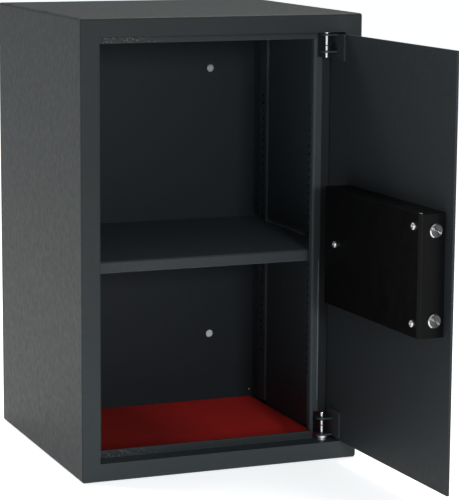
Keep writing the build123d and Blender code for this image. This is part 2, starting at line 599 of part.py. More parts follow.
def override_lock_body():
    """Cylinder lock body with a flange on the bezel."""
    body = rod_y(OVERRIDE_X, OVERRIDE_Z, OVERRIDE_R, BEZEL_FRONT, INNER + 18)
    front = BEZEL_FRONT - FLANGE_T
    flange = rod_y(OVERRIDE_X, OVERRIDE_Z, OVERRIDE_R + 2, front, BEZEL_FRONT)
    body += ease(flange, Axis.Y, front, 0.8)
    return body - rod_y(OVERRIDE_X, OVERRIDE_Z, PLUG_R + 0.08, front - 1, INNER + 19)


def override_plug():
    """Turning plug with its keyway."""
    plug = rod_y(OVERRIDE_X, OVERRIDE_Z, PLUG_R, BEZEL_FRONT - 1.4, LEVER_FRONT)
    keyway = block(OVERRIDE_X - 0.6, OVERRIDE_X + 0.6, BEZEL_FRONT - 3, INNER,
                   OVERRIDE_Z - 3.4, OVERRIDE_Z + 2.6)
    return plug - keyway


def override_lever():
    """Lever on the plug's inner end that turns the blocking cam's gear out of the way."""
    front, back = LEVER_FRONT, LEVER_FRONT + LEVER_T
    tip = OVERRIDE_Z - LEVER_REACH
    lever = rod_y(OVERRIDE_X, OVERRIDE_Z, 5.5, front, back)
    lever += block(OVERRIDE_X - 4, OVERRIDE_X + 4, front, back, tip, OVERRIDE_Z)
    return lever + rod_y(OVERRIDE_X, tip, 4, front, back)


# ---------------------------------------------------------------- writing

def fixed_pieces():
    pieces = {
        "cabinet_shell": cabinet_shell(),
        "back_panel": back_panel(),
        "door_jamb": door_jamb(),
        "hinge_side_baffle": hinge_side_baffle(),
        "shelf_clips": shelf_clips(),
        "floor_mat": floor_mat(),
        "upper_hinge_bush": upper_hinge_bush(),
        "lower_hinge_bush": lower_hinge_bush(),
        "shelf": shelf(),
    }
    for depth_name, centre in zip(("front", "rear"), RAIL_CENTRES):
        for side_name, side in (("left", -1), ("right", 1)):
            pieces[f"upright_{depth_name}_{side_name}"] = shelf_upright(side, centre)
    return pieces


def hinge_pieces():
    """Brackets and pins; the lower pair sits higher above its ledge by the washer."""
    upper_first = UPPER_LUG_Z - 2 * LUG - LUG_GAP
    lower = (LOWER_LUG_Z, LOWER_LUG_Z, LOWER_LUG_Z + BRACKET_HIGH)
    upper = (upper_first, UPPER_LUG_Z - BRACKET_HIGH, UPPER_LUG_Z)
    return {
        "lower_hinge_bracket": hinge_bracket(lower),
        "upper_hinge_bracket": hinge_bracket(upper),
        "lower_hinge_pin": hinge_pin(OPEN_LOW - SHEET, 56.5, 56.5, (46.3, 40.0)),
        "upper_hinge_pin": hinge_pin(487.0, OPEN_HIGH + SHEET, 487.0, (501.9,)),
    }


def door_pieces():
    pieces = {
        "door_plate": door_plate(),
        "lock_cover": lock_cover(),
        "cover_screws": cover_screws(),
        "cover_post": cover_post(),
        "bolt_guide": bolt_guide(),
        "guide_post": guide_post(),
        "guide_post_clip": guide_post_clip(),
        "lock_motor": lock_motor(),
        "motor_bracket": motor_bracket(),
        "circuit_board": circuit_board(),
        "board_components": board_components(),
        "board_spacers": board_spacers(),
        "battery_holder": battery_holder(),
        "batteries": batteries(),
        "keypad_bezel": keypad_bezel(),
        "display_window": display_window(),
        "override_lock_body": override_lock_body(),
        "upper_bolt": lock_bolt(BOLT_Z[0]),
        "lower_bolt": lock_bolt(BOLT_Z[1]),
        "bolt_carriage": bolt_carriage(),
        "knob": knob(),
        "knob_spindle": knob_spindle(),
        "spindle_crank": spindle_crank(),
        "blocking_cam": blocking_cam(),
        "override_plug": override_plug(),
        "override_lever": override_lever(),
    }
    pieces.update(hinge_pieces())
    for name, (x, z) in key_places():
        pieces[f"key_{name}"] = key_cap(x, z)
    return pieces


def swung_open(shape):
    """Turn a piece of the door about the hinge axis to the open position."""
    return Pos(AXIS_X, AXIS_Y, 0) * Rot(0, 0, DOOR_OPEN) * Pos(-AXIS_X, -AXIS_Y, 0) * shape


def main():
    os.makedirs("parts", exist_ok=True)
    pieces = fixed_pieces()
    pieces.update({name: swung_open(shape) for name, shape in door_pieces().items()})
    for name, shape in pieces.items():
        export_step(shape, f"parts/{name}.step")
    print(len(pieces), "pieces")


main()
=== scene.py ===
import json
import math

import bmesh
import bpy
from mathutils import Matrix, Vector, noise


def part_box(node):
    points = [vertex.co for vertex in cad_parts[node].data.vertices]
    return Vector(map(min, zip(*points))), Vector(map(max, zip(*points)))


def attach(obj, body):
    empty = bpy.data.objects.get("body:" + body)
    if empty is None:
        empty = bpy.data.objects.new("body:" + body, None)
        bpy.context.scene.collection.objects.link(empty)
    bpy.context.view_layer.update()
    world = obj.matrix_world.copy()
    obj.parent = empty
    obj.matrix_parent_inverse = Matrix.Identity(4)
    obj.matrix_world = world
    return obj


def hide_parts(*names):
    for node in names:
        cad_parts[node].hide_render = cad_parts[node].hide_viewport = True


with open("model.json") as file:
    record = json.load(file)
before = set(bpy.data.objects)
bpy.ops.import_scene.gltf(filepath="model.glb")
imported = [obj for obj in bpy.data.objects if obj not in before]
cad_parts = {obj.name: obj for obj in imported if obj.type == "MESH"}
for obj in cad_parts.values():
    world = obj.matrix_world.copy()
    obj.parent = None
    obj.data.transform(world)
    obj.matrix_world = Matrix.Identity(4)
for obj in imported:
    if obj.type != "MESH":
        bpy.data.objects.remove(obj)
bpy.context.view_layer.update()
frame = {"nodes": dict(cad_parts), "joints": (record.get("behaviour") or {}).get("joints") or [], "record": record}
NODES = frame["nodes"]
MM = 0.001

# The record's joints and material slots, by name.
JOINTS = {j["name"]: j for j in frame["joints"]}
MOUNTS = {m["name"]: m for m in frame["record"]["mounts"]}
SLOT_OF = {s["node"]: s["material_slot"] for s in frame["record"]["subparts"]}

# The door is laid out closed and turned about its hinge to the open rest pose.
HINGE = Vector(JOINTS["door_swing"]["pos_m"])
DOOR_OPEN = -math.radians(JOINTS["door_swing"]["range_deg"][0])
DOOR_TURN = (Matrix.Translation(HINGE) @ Matrix.Rotation(DOOR_OPEN, 4, "Z")
             @ Matrix.Translation(-HINGE))


def closed_box(node):
    """A door node's lowest and highest corners with the door closed."""
    back = DOOR_TURN.inverted()
    points = [back @ v.co for v in NODES[node].data.vertices]
    low = Vector([min(p[i] for p in points) for i in range(3)])
    high = Vector([max(p[i] for p in points) for i in range(3)])
    return low, high


# ------------------------------------------------------------------ camera and studio

CAMERA_PLACE = (-0.9385, -2.5121, 0.6959)
CAMERA_YAW, CAMERA_PITCH, CAMERA_ROLL = 0.3830, -0.1683, 0.0061   # radians
CAMERA_LENS = 157.5
WORLD_GLOW, FLOOR_GLOW = 0.4, 0.68
KEY_WATTS, TOP_WATTS, FRONT_WATTS = 12, 50, 50


def camera():
    """The photograph's view, fitted to the cabinet's corners and opening."""
    data = bpy.data.cameras.new("camera")
    data.lens = CAMERA_LENS
    data.sensor_width = 36.0
    data.clip_end = 100.0
    obj = bpy.data.objects.new("camera", data)
    bpy.context.scene.collection.objects.link(obj)
    turn = (Matrix.Rotation(-CAMERA_YAW, 4, "Z") @ Matrix.Rotation(math.pi / 2 + CAMERA_PITCH, 4, "X")
            @ Matrix.Rotation(CAMERA_ROLL, 4, "Z"))
    obj.matrix_world = Matrix.Translation(CAMERA_PLACE) @ turn
    bpy.context.scene.camera = obj


def softbox(name, place, target, size, watts, tint):
    """A square area light that looks from place at target."""
    data = bpy.data.lights.new(name, "AREA")
    data.shape = "SQUARE"
    data.size = size
    data.energy = watts
    data.color = tint
    obj = bpy.data.objects.new(name, data)
    bpy.context.scene.collection.objects.link(obj)
    look = Vector(target) - Vector(place)
    obj.matrix_world = Matrix.Translation(place) @ look.to_track_quat("-Z", "Y").to_matrix().to_4x4()


def studio():
    """A pale world, three softboxes and a bright floor, like a catalogue photograph."""
    scene = bpy.context.scene
    scene.view_settings.view_transform = "Standard"
    world = bpy.data.worlds.new("studio")
    world.use_nodes = True
    sky = world.node_tree.nodes["Background"]
    sky.inputs["Color"].default_value = (0.93, 0.965, 1.0, 1.0)
    sky.inputs["Strength"].default_value = WORLD_GLOW
    scene.world = world
    softbox("key_light", (-1.1, 0.7, 1.7), (-0.17, 0.0, 0.5), 0.5, KEY_WATTS, (1.0, 0.99, 0.88))
    softbox("top_light", (0.8, 0.5, 2.8), (0.0, 0.0, 0.5), 0.9, TOP_WATTS, (1.0, 1.0, 0.88))
    softbox("front_light", (-0.38, -3.7, 0.96), (0.0, -0.16, 0.27), 0.5, FRONT_WATTS,
            (0.95, 0.98, 1.0))
    studio_floor()


def studio_floor():
    """A wide pale floor, softly lit from below like a light table."""
    half = 20.0
    corners = [(-half, -half, 0), (half, -half, 0), (half, half, 0), (-half, half, 0)]
    mesh = bpy.data.meshes.new("floor")
    mesh.from_pydata(corners, [], [(0, 1, 2, 3)])
    floor = bpy.data.objects.new("floor", mesh)
    bpy.context.scene.collection.objects.link(floor)
    floor.location.z = -0.2 * MM
    g = Graph("floor_paper")
    g.set("Base Color", g.mix(g.noise(3.0, 2), (0.86, 0.86, 0.86), (0.9, 0.9, 0.9)))
    g.set("Emission Color", (0.97, 0.985, 1.0))
    g.set("Emission Strength", FLOOR_GLOW)
    g.set("Roughness", 0.9)
    mesh.materials.append(g.material)
    return floor


# ------------------------------------------------------------------ material graphs

class Graph:
    """A material's node tree, with short calls that add nodes and join them."""

    def __init__(self, name):
        self.material = bpy.data.materials.new(name)
        self.material.use_nodes = True
        self.tree = self.material.node_tree
        self.shader = self.tree.nodes["Principled BSDF"]
        self.place = self.node("ShaderNodeTexCoord").outputs["Object"]

    def node(self, kind, **values):
        made = self.tree.nodes.new(kind)
        for key, value in values.items():
            setattr(made, key, value)
        return made

    def plug(self, value, socket):
        """Link another node's output to a socket, or set the socket to a constant."""
        if isinstance(value, bpy.types.NodeSocket):
            self.tree.links.new(value, socket)
        elif isinstance(value, tuple) and len(value) == 3 and socket.type == "RGBA":
            socket.default_value = (*value, 1.0)
        else:
            socket.default_value = value

    def set(self, name, value):
        self.plug(value, self.shader.inputs[name])

    def stretch(self, scale):
        """The place, scaled by a number along each axis."""
        made = self.node("ShaderNodeMapping")
        made.inputs["Scale"].default_value = scale
        self.plug(self.place, made.inputs["Vector"])
        return made.outputs["Vector"]

    def noise(self, scale, detail=2.0, rough=0.5, place=None):
        made = self.node("ShaderNodeTexNoise")
        self.plug(place or self.place, made.inputs["Vector"])
        made.inputs["Scale"].default_value = scale
        made.inputs["Detail"].default_value = detail
        made.inputs["Roughness"].default_value = rough
        return made.outputs["Fac"]

    def cells(self, scale):
        made = self.node("ShaderNodeTexVoronoi")
        self.plug(self.place, made.inputs["Vector"])
        made.inputs["Scale"].default_value = scale
        return made.outputs["Distance"]

    def window(self, value, low, high, out_low=0.0, out_high=1.0):
        """value mapped from low..high to out_low..out_high, clamped."""
        made = self.node("ShaderNodeMapRange")
        made.inputs["From Min"].default_value = low
        made.inputs["From Max"].default_value = high
        made.inputs["To Min"].default_value = out_low
        made.inputs["To Max"].default_value = out_high
        self.plug(value, made.inputs["Value"])
        return made.outputs["Result"]

    def math(self, operation, a, b=0.0):
        made = self.node("ShaderNodeMath", operation=operation)
        self.plug(a, made.inputs[0])
        self.plug(b, made.inputs[1])
        return made.outputs[0]

    def product(self, *values):
        """All the values multiplied together."""
        total = values[0]
        for value in values[1:]:
            total = self.math("MULTIPLY", total, value)
        return total

    def band(self, value, low, high):
        """1 where value lies between low and high, else 0."""
        made = self.node("ShaderNodeMath", operation="COMPARE")
        self.plug(value, made.inputs[0])
        made.inputs[1].default_value = (low + high) / 2
        made.inputs[2].default_value = (high - low) / 2
        return made.outputs[0]

    def mix(self, share, a, b, blend="MIX"):
        """Two colours mixed; inputs 6 and 7 and output 2 are the node's colour sockets."""
        made = self.node("ShaderNodeMix", data_type="RGBA", blend_type=blend)
        self.plug(share, made.inputs["Factor"])
        self.plug(a, made.inputs[6])
        self.plug(b, made.inputs[7])
        return made.outputs[2]

    def axis(self, name):
        made = self.node("ShaderNodeSeparateXYZ")
        self.plug(self.place, made.inputs[0])
        return made.outputs[name]

    def bump(self, height, strength, depth):
        made = self.node("ShaderNodeBump")
        made.inputs["Strength"].default_value = strength
        made.inputs["Distance"].default_value = depth
        self.plug(height, made.inputs["Height"])
        return made.outputs["Normal"]

    def edges(self, radius, gain):
        """0 on flat stretches, rising towards edges tighter than radius."""
        rounded = self.node("ShaderNodeBevel", samples=4)
        rounded.inputs["Radius"].default_value = radius
        plain = self.node("ShaderNodeNewGeometry").outputs["Normal"]
        dot = self.node("ShaderNodeVectorMath", operation="DOT_PRODUCT")
        self.plug(rounded.outputs["Normal"], dot.inputs[0])
        self.plug(plain, dot.inputs[1])
        return self.math("MULTIPLY", self.math("SUBTRACT", 1.0, dot.outputs["Value"]), gain)


def shade(color, factor):
    return tuple(c * factor for c in color)


# ------------------------------------------------------------------ materials

# The same grey paint has a tone of its own on each part: partly painted light and shade, with the inner wall and
# shelf much paler to stand in for light that the interior lacks.
OUTER_PAINT = (0.0162, 0.0198, 0.0214)
BACK_PAINT = (0.0138, 0.018, 0.0222)
WALL_PAINT = (0.045, 0.056, 0.065)
SHELF_PAINT = (0.066, 0.08, 0.09)
DOOR_PAINT = (0.0165, 0.02, 0.023)
PAINTED_SLOT_SHADE = (0.002, 0.002, 0.002)      # painted shade, near black, behind the rails and in their slots
RELIEF_PLACE = (169 * MM, 13 * MM)      # x, either side, and z of the back panel's relief holes
BAFFLE_SHADOW_EDGE = 10.5 * MM                 # from the baffle's edge to where its painted shadow begins


def paint_grain(g, tone):
    """The mottle and pale specks of a powder coat, as a multiple of its tone."""
    broad = g.window(g.noise(6.0, 3), 0.3, 0.7)
    fine = g.window(g.noise(520.0, 3, 0.65), 0.35, 0.65)
    specks = g.window(g.noise(950.0, 2, 0.7), 0.66, 0.74, 0.0, 0.45)
    level = g.mix(broad, (0.93, 0.93, 0.93), (1.07, 1.07, 1.07))
    level = g.mix(fine, (0.84, 0.84, 0.84), level)
    level = g.mix(specks, level, (3.0, 3.0, 3.0))
    return g.mix(1.0, tone, level, "MULTIPLY")


def powder_coat(name, tone, gloss=0.2, grain=1.0, place_tone=None, edge_wear_and_highlight=1.4):
    """Fine-textured powder coat: mottled tone, pale specks, orange-peel surface, worn edges that at high gain are
    partly painted edge highlights.

    place_tone, where given, builds the paint's tone at each place in the part instead of tone.
    """
    g = Graph(name)
    base = paint_grain(g, place_tone(g) if place_tone else tone)
    # edge wear, and at high gain a painted highlight on the edges
    wear = g.math("MULTIPLY", g.edges(1.2 * MM, edge_wear_and_highlight), g.window(g.noise(60.0, 3), 0.35, 0.7))
    base = g.mix(g.math("MINIMUM", wear, 0.5), base, shade(tone, 3.0))
    g.set("Base Color", base)
    g.set("Roughness", g.window(g.noise(130.0, 3), 0.3, 0.7, 0.5, 0.58))
    peel = g.math("ADD", g.noise(330.0, 2), g.math("MULTIPLY", g.cells(640.0), 0.6))
    g.set("Normal", g.bump(peel, 0.4 * grain, 0.25 * MM))
    g.set("Specular IOR Level", gloss)
    return g.material


def shell_tone(g):
    """The shell's paint: paler inside and low on the front as painted light, and near black behind the slotted
    rails as painted shade.
    """
    x, y, z = g.math("ABSOLUTE", g.axis("X")), g.axis("Y"), g.axis("Z")
    low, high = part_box("cabinet_shell")
    inside = g.product(g.band(x, 0.0, high.x - 1 * MM),
                       g.band(y, low.y + 1 * MM, high.y + 1 * MM),
                       g.band(z, low.z + 1 * MM, high.z - 1 * MM))
    # painted light: the front face is paler low down, fading out by 400 mm up
    front = g.product(g.band(y, low.y - 1 * MM, low.y + 1 * MM),
                      g.window(z, low.z + 60 * MM, low.z + 400 * MM, 1.0, 0.0))
    tone = g.mix(front, OUTER_PAINT, shade(OUTER_PAINT, 1.7))
    # painted light: the inner walls take the paler WALL_PAINT
    tone = g.mix(inside, tone, WALL_PAINT)
    for depth in ("front", "rear"):
        near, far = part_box(f"upright_{depth}_right")
        behind = g.product(g.band(y, near.y + 1 * MM, far.y - 1 * MM),
                           g.band(x, near.x, high.x - 1 * MM))
        # painted shade: near black in the gap behind the rails, seen through their slots
        tone = g.mix(behind, tone, PAINTED_SLOT_SHADE)
    return tone


def shelf_tone(g):
    """The shelf's paint: paler on top, with the front lip darkened as painted shade."""
    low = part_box("shelf")[0]
    front = g.band(g.axis("Y"), low.y - 1 * MM, low.y + 1 * MM)
    return g.mix(front, SHELF_PAINT, shade(SHELF_PAINT, 0.38))


def baffle_tone(g):
    """The baffle's paint: paler up to a set line as painted light, and dark past it as a painted shadow."""
    low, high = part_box("hinge_side_baffle")
    past = g.band(g.axis("X"), low.x + BAFFLE_SHADOW_EDGE, high.x)
    # painted light before the line, painted shadow past it
    return g.mix(past, shade(OUTER_PAINT, 2.0), shade(OUTER_PAINT, 0.45))


def rail_tone(g):
    """A rail's paint, with painted shade, near black, down the thickness of its slots."""
    tone = WALL_PAINT
    out = g.math("ABSOLUTE", g.axis("X"))
    for depth in ("front", "rear"):
        near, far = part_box(f"upright_{depth}_right")
        middle = (near.y + far.y) / 2
        slots = g.product(g.band(out, near.x + 0.3 * MM, far.x + 1 * MM),
                          g.band(g.axis("Y"), middle - 4 * MM, middle + 4 * MM))
        # painted shade: near black down the rails' slot columns
        tone = g.mix(slots, tone, PAINTED_SLOT_SHADE)
    return tone


def speckled_tone(g):
    """Jamb paint, paler on the bottom ledge as painted light, with coarse pale specks at the lips' lock-side ends.
    """
    low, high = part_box("door_jamb")
    z = g.axis("Z")
    share = g.window(g.axis("X"), low.x + 35 * MM, low.x + 100 * MM, 1.0, 0.0)
    lips = g.math("MAXIMUM", g.window(z, high.z - 14 * MM, high.z - 10 * MM),
                  g.window(z, low.z + 8 * MM, low.z + 12 * MM, 1.0, 0.0))
    specks = g.window(g.noise(430.0, 2, 0.8), 0.56, 0.66)
    # painted light: the bottom ledge is paler
    ledge = g.window(z, low.z + 2.2 * MM, low.z + 3.2 * MM, 1.0, 0.0)
    tone = g.mix(ledge, shade(OUTER_PAINT, 1.4), shade(OUTER_PAINT, 2.6))
    return g.mix(g.product(specks, share, lips), tone, (0.16, 0.17, 0.16))


def black_enamel(name):
    """Satin black enamel of the lock cover, with dust and faint rubs."""
    g = Graph(name)
    dust = g.window(g.noise(24.0, 4, 0.7), 0.55, 0.8, 0.0, 0.3)
    base = g.mix(dust, (0.0025, 0.0025, 0.0028), (0.008, 0.008, 0.0085))
    wear = g.math("MINIMUM", g.edges(1.0 * MM, 0.9), 0.5)
    g.set("Base Color", g.mix(wear, base, (0.05, 0.05, 0.05)))
    g.set("Specular IOR Level", 0.08)
    g.set("Roughness", g.window(g.noise(55.0, 3), 0.3, 0.7, 0.34, 0.46))
    g.set("Normal", g.bump(g.noise(460.0, 3), 0.25, 0.15 * MM))
    return g.material


def plated(name, tone=(0.78, 0.79, 0.8), rough=(0.12, 0.22)):
    """Bright plating with faint smears and pits."""
    g = Graph(name)
    smear = g.window(g.noise(90.0, 4, 0.6), 0.3, 0.7)
    g.set("Base Color", g.mix(smear, shade(tone, 0.86), tone))
    g.set("Metallic", 1.0)
    g.set("Roughness", g.window(g.noise(160.0, 3), 0.3, 0.7, *rough))
    g.set("Normal", g.bump(g.noise(1500.0, 2), 0.06, 0.05 * MM))
    return g.material


def zinc(name):
    """Zinc-plated sheet: pale steel with a soft spangle and drawn lines."""
    g = Graph(name)
    spangle = g.window(g.cells(170.0), 0.0, 0.6)
    base = g.mix(spangle, (0.48, 0.49, 0.5), (0.62, 0.63, 0.64))
    lines = g.noise(60.0, 3, 0.6, g.stretch((1.0, 1.0, 22.0)))
    g.set("Base Color", g.mix(g.window(lines, 0.35, 0.65, 0.0, 0.4), base, (0.36, 0.36, 0.37)))
    g.set("Metallic", 1.0)
    g.set("Roughness", g.window(lines, 0.3, 0.7, 0.28, 0.45))
    g.set("Normal", g.bump(lines, 0.12, 0.05 * MM))
    return g.material


def grey(g, level):
    """A grey whose three channels all carry the given level."""
    made = g.node("ShaderNodeCombineColor")
    for channel in ("Red", "Green", "Blue"):
        g.plug(level, made.inputs[channel])
    return made.outputs["Color"]


def felt(name):
    """Needled red felt: matted fibres, lint and worn paler patches, darker towards the lock side as a painted
    shadow.
    """
    g = Graph(name)
    tufts = g.noise(650.0, 4, 0.75)
    base = g.mix(g.window(tufts, 0.3, 0.7), (0.56, 0.013, 0.012), (0.92, 0.028, 0.022))
    patch = g.window(g.noise(11.0, 3), 0.35, 0.7)
    base = g.mix(g.math("MULTIPLY", patch, 0.35), base, (0.9, 0.04, 0.026))
    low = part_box("floor_mat")[0]
    # painted shadow: the felt darkens towards the lock side
    drift = g.math("ADD", g.axis("X"), g.math("MULTIPLY", g.noise(9.0, 2), 60 * MM))
    painted_shade_level = g.window(drift, low.x + 178 * MM, low.x + 268 * MM, 0.42, 1.0)
    base = g.mix(1.0, base, grey(g, painted_shade_level), "MULTIPLY")
    lint = g.window(g.noise(1300.0, 1), 0.74, 0.8, 0.0, 0.6)
    g.set("Base Color", g.mix(lint, base, (0.55, 0.3, 0.27)))
    g.set("Roughness", g.window(tufts, 0.2, 0.8, 0.85, 1.0))
    g.set("Specular IOR Level", 0.15)
    g.set("Sheen Weight", 0.15)
    g.set("Sheen Roughness", 0.5)
    g.set("Sheen Tint", (0.9, 0.1, 0.08))
    fibres = g.math("ADD", tufts, g.noise(1700.0, 2, 0.6, g.stretch((1.0, 0.35, 1.0))))
    g.set("Normal", g.bump(fibres, 0.9, 0.5 * MM))
    return g.material


def moulded(name, tone, rough=(0.38, 0.5), grain=0.3):
    """Moulded plastic with a fine spark-eroded grain."""
    g = Graph(name)
    broad = g.window(g.noise(30.0, 3), 0.3, 0.7)
    base = g.mix(broad, shade(tone, 0.88), tone)
    wear = g.math("MINIMUM", g.edges(0.6 * MM, 0.8), 0.35)
    g.set("Base Color", g.mix(wear, base, shade(tone, 1.7)))
    g.set("Roughness", g.window(g.noise(180.0, 3), 0.3, 0.7, *rough))
    g.set("Normal", g.bump(g.cells(1400.0), grain, 0.08 * MM))
    return g.material


def smoked_window(name):
    """Glossy dark glazing of the display, with dust and finger smears."""
    g = Graph(name)
    dust = g.window(g.noise(260.0, 3, 0.7), 0.55, 0.8, 0.0, 0.3)
    g.set("Base Color", g.mix(dust, (0.006, 0.009, 0.009), (0.04, 0.042, 0.042)))
    g.set("Roughness", g.window(g.noise(35.0, 4), 0.35, 0.7, 0.04, 0.14))
    g.set("Coat Weight", 0.6)
    return g.material


def glowing(name, tone, strength):
    """A lamp or display segment that gives off light in its own tone."""
    g = Graph(name)
    g.set("Base Color", g.mix(g.noise(300.0), shade(tone, 0.4), shade(tone, 0.6)))
    g.set("Emission Color", tone)
    g.set("Emission Strength", strength)
    g.set("Roughness", g.window(g.noise(120.0), 0.3, 0.7, 0.3, 0.45))
    return g.material


def board(name):
    """Green solder mask with copper tracks showing through."""
    g = Graph(name)
    tracks = g.window(g.noise(90.0, 1, 0.5, g.stretch((1.0, 4.0, 1.0))), 0.5, 0.53)
    g.set("Base Color", g.mix(tracks, (0.006, 0.07, 0.03), (0.02, 0.13, 0.05)))
    g.set("Roughness", g.window(g.noise(200.0), 0.3, 0.7, 0.22, 0.34))
    g.set("Normal", g.bump(tracks, 0.2, 0.05 * MM))
    return g.material


def cell_wrap(name):
    """Battery sleeve: dark wrap with a copper-toned band."""
    g = Graph(name)
    low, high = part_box("batteries")
    band = g.window(g.window(g.axis("Y"), low.y, high.y), 0.66, 0.68)
    base = g.mix(band, (0.012, 0.013, 0.016), (0.4, 0.17, 0.06))
    g.set("Base Color", g.mix(g.window(g.noise(70.0, 3), 0.3, 0.7, 0.0, 0.2), base, (0.05, 0.05, 0.05)))
    g.set("Metallic", 0.4)
    g.set("Roughness", g.window(g.noise(120.0), 0.3, 0.7, 0.24, 0.34))
    return g.material


def slot_materials():
    """One material for each of the record's slots."""
    return {
        "powder_coat": powder_coat("powder_coat", OUTER_PAINT, grain=0.4, place_tone=shell_tone),
        "door_coat": powder_coat("door_coat", DOOR_PAINT, gloss=0.26),
        "lock_black": black_enamel("lock_black"),
        "polished_steel": plated("polished_steel"),
        "zinc_steel": zinc("zinc_steel"),
        "felt": felt("felt"),
        "black_plastic": moulded("black_plastic", (0.014, 0.014, 0.015)),
        "key_plastic": moulded("key_plastic", (0.3, 0.31, 0.32), (0.34, 0.44), 0.2),
        "window": smoked_window("window"),
        "board_green": board("board_green"),
        "component_black": moulded("component_black", (0.02, 0.02, 0.02)),
        "cell_wrap": cell_wrap("cell_wrap"),
        "motor_steel": plated("motor_steel", (0.55, 0.55, 0.56), (0.25, 0.35)),
    }


# ------------------------------------------------------------------ mesh helpers

MATERIALS = {}


def add(mesh, name, body, material):
    """Put a finished mesh in the scene as a piece that rides on a body."""
    obj = bpy.data.objects.new(name, mesh)
    bpy.context.scene.collection.objects.link(obj)
    mesh.materials.clear()
    mesh.materials.append(material)
    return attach(obj, body)


def add_built(bm, name, body, slot, material=None, smooth=True):
    """Turn a bmesh into a piece, in its slot's material unless another is given."""
    mesh = bpy.data.meshes.new(name)
    bmesh.ops.recalc_face_normals(bm, faces=bm.faces)
    bm.to_mesh(mesh)
    bm.free()
    if smooth:
        mesh.shade_smooth()
    return add(mesh, name, body, material or MATERIALS[slot])


def open_door(bm):
    """Turn what was laid out on the closed door to the open rest pose."""
    bmesh.ops.transform(bm, matrix=DOOR_TURN, verts=bm.verts)


def angles(count):
    """Evenly spaced angles round a full turn."""
    return [2 * math.pi * k / count for k in range(count)]


def weld_bead(bm, start, end, out, width=2.4 * MM, ripple=1.7 * MM):
    """A rippled weld run from start to end, half sunk in the corner that out points away from."""
    run = end - start
    across = run.normalized().cross(out).normalized()
    steps = max(6, int(run.length / (0.35 * MM)))
    around = 10
    rings = []
    for i in range(steps + 1):
        share = i / steps
        taper = math.sin(math.pi * (0.02 + 0.96 * share)) ** 0.35
        phase = (share * run.length / ripple) % 1.0
        swell = (0.82 + 0.18 * phase ** 0.5) * taper * width / 2
        drift = 0.12 * width * noise.noise(Vector((share * run.length * 400, start.x * 90, start.z * 90)))
        middle = start + run * share + across * drift
        rings.append([bm.verts.new(middle + across * math.cos(a) * swell + out * math.sin(a) * swell * 0.8)
                      for a in angles(around)])
    for a, b in zip(rings, rings[1:]):
        for k in range(around):
            bm.faces.new((a[k], a[(k + 1) % around], b[(k + 1) % around], b[k]))
    bm.faces.new(rings[0][::-1])
    bm.faces.new(rings[-1])


def skin_turned(bm, tip, loops, foot=None):
    """Faces of a turned shape: a fan round the tip, walls between the loops, and a flat end or a fan."""
    count = len(loops[0])
    for k in range(count):
        bm.faces.new((tip, loops[0][k], loops[0][(k + 1) % count]))
    for a, b in zip(loops, loops[1:]):
        for k in range(count):
            bm.faces.new((a[k], b[k], b[(k + 1) % count], a[(k + 1) % count]))
    if foot is None:
        bm.faces.new(loops[-1])
        return
    for k in range(count):
        bm.faces.new((loops[-1][k], foot, loops[-1][(k + 1) % count]))


def ring_mesh(bm, centre, inner, outer, depth, start=0.0, sweep=2 * math.pi, count=28):
    """A flat ring or arc of a ring in the door's plane, depth thick towards the front."""
    full = abs(sweep - 2 * math.pi) < 1e-6
    spots = count if full else count + 1
    corners = ((inner, 0), (outer, 0), (outer, -depth), (inner, -depth))
    rows = []
    for k in range(spots):
        a = start + sweep * k / count
        way = Vector((math.cos(a), 0.0, math.sin(a)))
        rows.append([bm.verts.new(centre + way * r + Vector((0, y, 0))) for r, y in corners])
    for k in range(count):
        a, b = rows[k], rows[(k + 1) % spots]
        for m in range(4):
            bm.faces.new((a[m], a[(m + 1) % 4], b[(m + 1) % 4], b[m]))
    if not full:
        bm.faces.new(rows[0])
        bm.faces.new(rows[-1][::-1])
    return [v for row in rows for v in row]


def bar_mesh(bm, low, high, ease=0.0):
    """A box between two corners, its edges eased."""
    made = bmesh.ops.create_cube(bm, size=1.0)["verts"]
    size, middle = high - low, (high + low) / 2
    for v in made:
        v.co = Vector([middle[i] + v.co[i] * size[i] for i in range(3)])
    if ease:
        edges = list({e for v in made for e in v.link_edges})
        bmesh.ops.bevel(bm, geom=edges, offset=ease, segments=2, affect="EDGES", profile=0.5)
    return made


# ------------------------------------------------------------------ cabinet pieces

MAT_STEP = 2.0 * MM                 # the felt sheet's mesh size
MAT_REST = 0.45                     # mm from the sheet's highest level down to its usual one
MAT_EDGE_DROPS = (0.9, 0.3, 0.08)   # mm that the outermost rows of the sheet sink further


def mat_drop(x, y, row):
    """How far the felt's top lies below its highest level, in mm, at a row counted from the edge."""
    lie = 0.35 * noise.noise(Vector((x * 14, y * 14, 0.0)))
    tuft = 0.22 * noise.noise(Vector((x * 420, y * 420, 1.0)))
    edge = MAT_EDGE_DROPS[row] if row < len(MAT_EDGE_DROPS) else 0.0
    return MAT_REST - lie - tuft + edge


def mat_grid(bm, low, high, nx, ny, top):
    """The top or bottom vertices of the mat, with the cut edge slightly ragged."""
    def spot(i, j):
        row = min(i, j, nx - i, ny - j)
        x = low.x + (high.x - low.x) * i / nx
        y = low.y + (high.y - low.y) * j / ny
        inset = 0.0
        if row == 0:
            inset = 0.25 * MM + 0.45 * MM * noise.noise(Vector((x * 150, y * 150, 3.0)))
        x += inset * ((i == 0) - (i == nx))
        y += inset * ((j == 0) - (j == ny))
        return Vector((x, y, high.z - mat_drop(x, y, row) * MM if top else low.z))

    return [[bm.verts.new(spot(i, j)) for j in range(ny + 1)] for i in range(nx + 1)]


